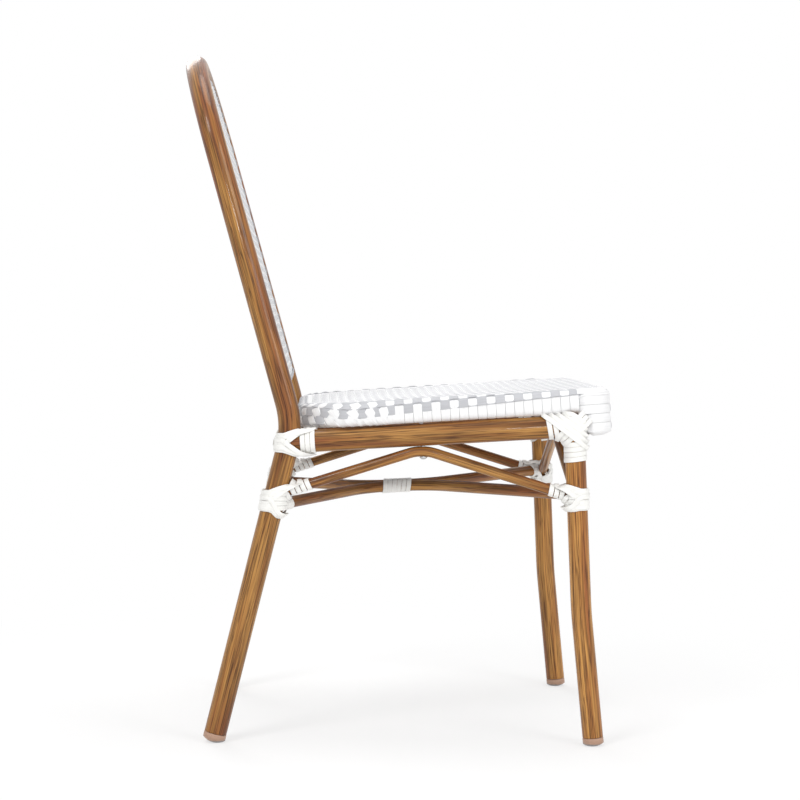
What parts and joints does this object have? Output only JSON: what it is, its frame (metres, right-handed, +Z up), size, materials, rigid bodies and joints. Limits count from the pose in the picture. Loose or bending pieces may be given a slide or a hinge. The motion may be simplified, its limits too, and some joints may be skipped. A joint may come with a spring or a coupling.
{
  "type": "rattan bistro chair",
  "caption": "Stacking bistro side chair with a bent bamboo-print tube frame, an arched woven back, a woven seat, arched braces and strap lashings.",
  "frame": {"origin": "on the floor under the middle of the chair's bounding box", "axes": "+Z up; the sitter faces -Y, so the back stands towards +Y; X runs across the chair"},
  "size_m": [0.4556, 0.5518, 0.8951],
  "materials": {
    "bamboo_tube": "gloss bamboo-grain print on aluminium tube",
    "weave_strand": "white and light grey flat polyethylene strands in a checked weave",
    "lashing_strap": "white flat polyethylene strap, slightly glossy",
    "foot_plastic": "tan moulded plastic with a grey glide",
    "bare_aluminium": "plain drawn aluminium",
    "screw_steel": "zinc-plated steel"
  },
  "bodies": {
    "root": {"rear_frame": "bamboo_tube", "front_leg_left": "bamboo_tube", "front_leg_right": "bamboo_tube", "side_rail_left": "bamboo_tube", "side_rail_right": "bamboo_tube", "front_rail": "bamboo_tube", "rear_rail": "bamboo_tube", "side_brace_left": "bamboo_tube", "side_brace_right": "bamboo_tube", "front_brace": "bamboo_tube", "rear_brace": "bamboo_tube", "stretcher_left": "bamboo_tube", "stretcher_right": "bamboo_tube", "foot_cap_rear_left": "foot_plastic", "foot_cap_rear_right": "foot_plastic", "foot_cap_front_left": "foot_plastic", "foot_cap_front_right": "foot_plastic", "seat_weave": "weave_strand", "back_weave": "weave_strand", "seat_ring": "bare_aluminium", "seat_nose_bar": "bare_aluminium", "seat_cross_bar": "bare_aluminium", "back_hoop": "bare_aluminium", "seat_bolt_left": "screw_steel", "seat_bolt_right": "screw_steel", "brace_screw_front": "screw_steel", "brace_screw_rear": "screw_steel", "lashing_lower_rear_left": "lashing_strap", "lashing_lower_rear_right": "lashing_strap", "lashing_lower_front_left": "lashing_strap", "lashing_lower_front_right": "lashing_strap", "lashing_upper_rear_left": "lashing_strap", "lashing_upper_rear_right": "lashing_strap", "lashing_upper_front_left": "lashing_strap", "lashing_upper_front_right": "lashing_strap", "lashing_centre": "lashing_strap"}
  },
  "joints": []
}
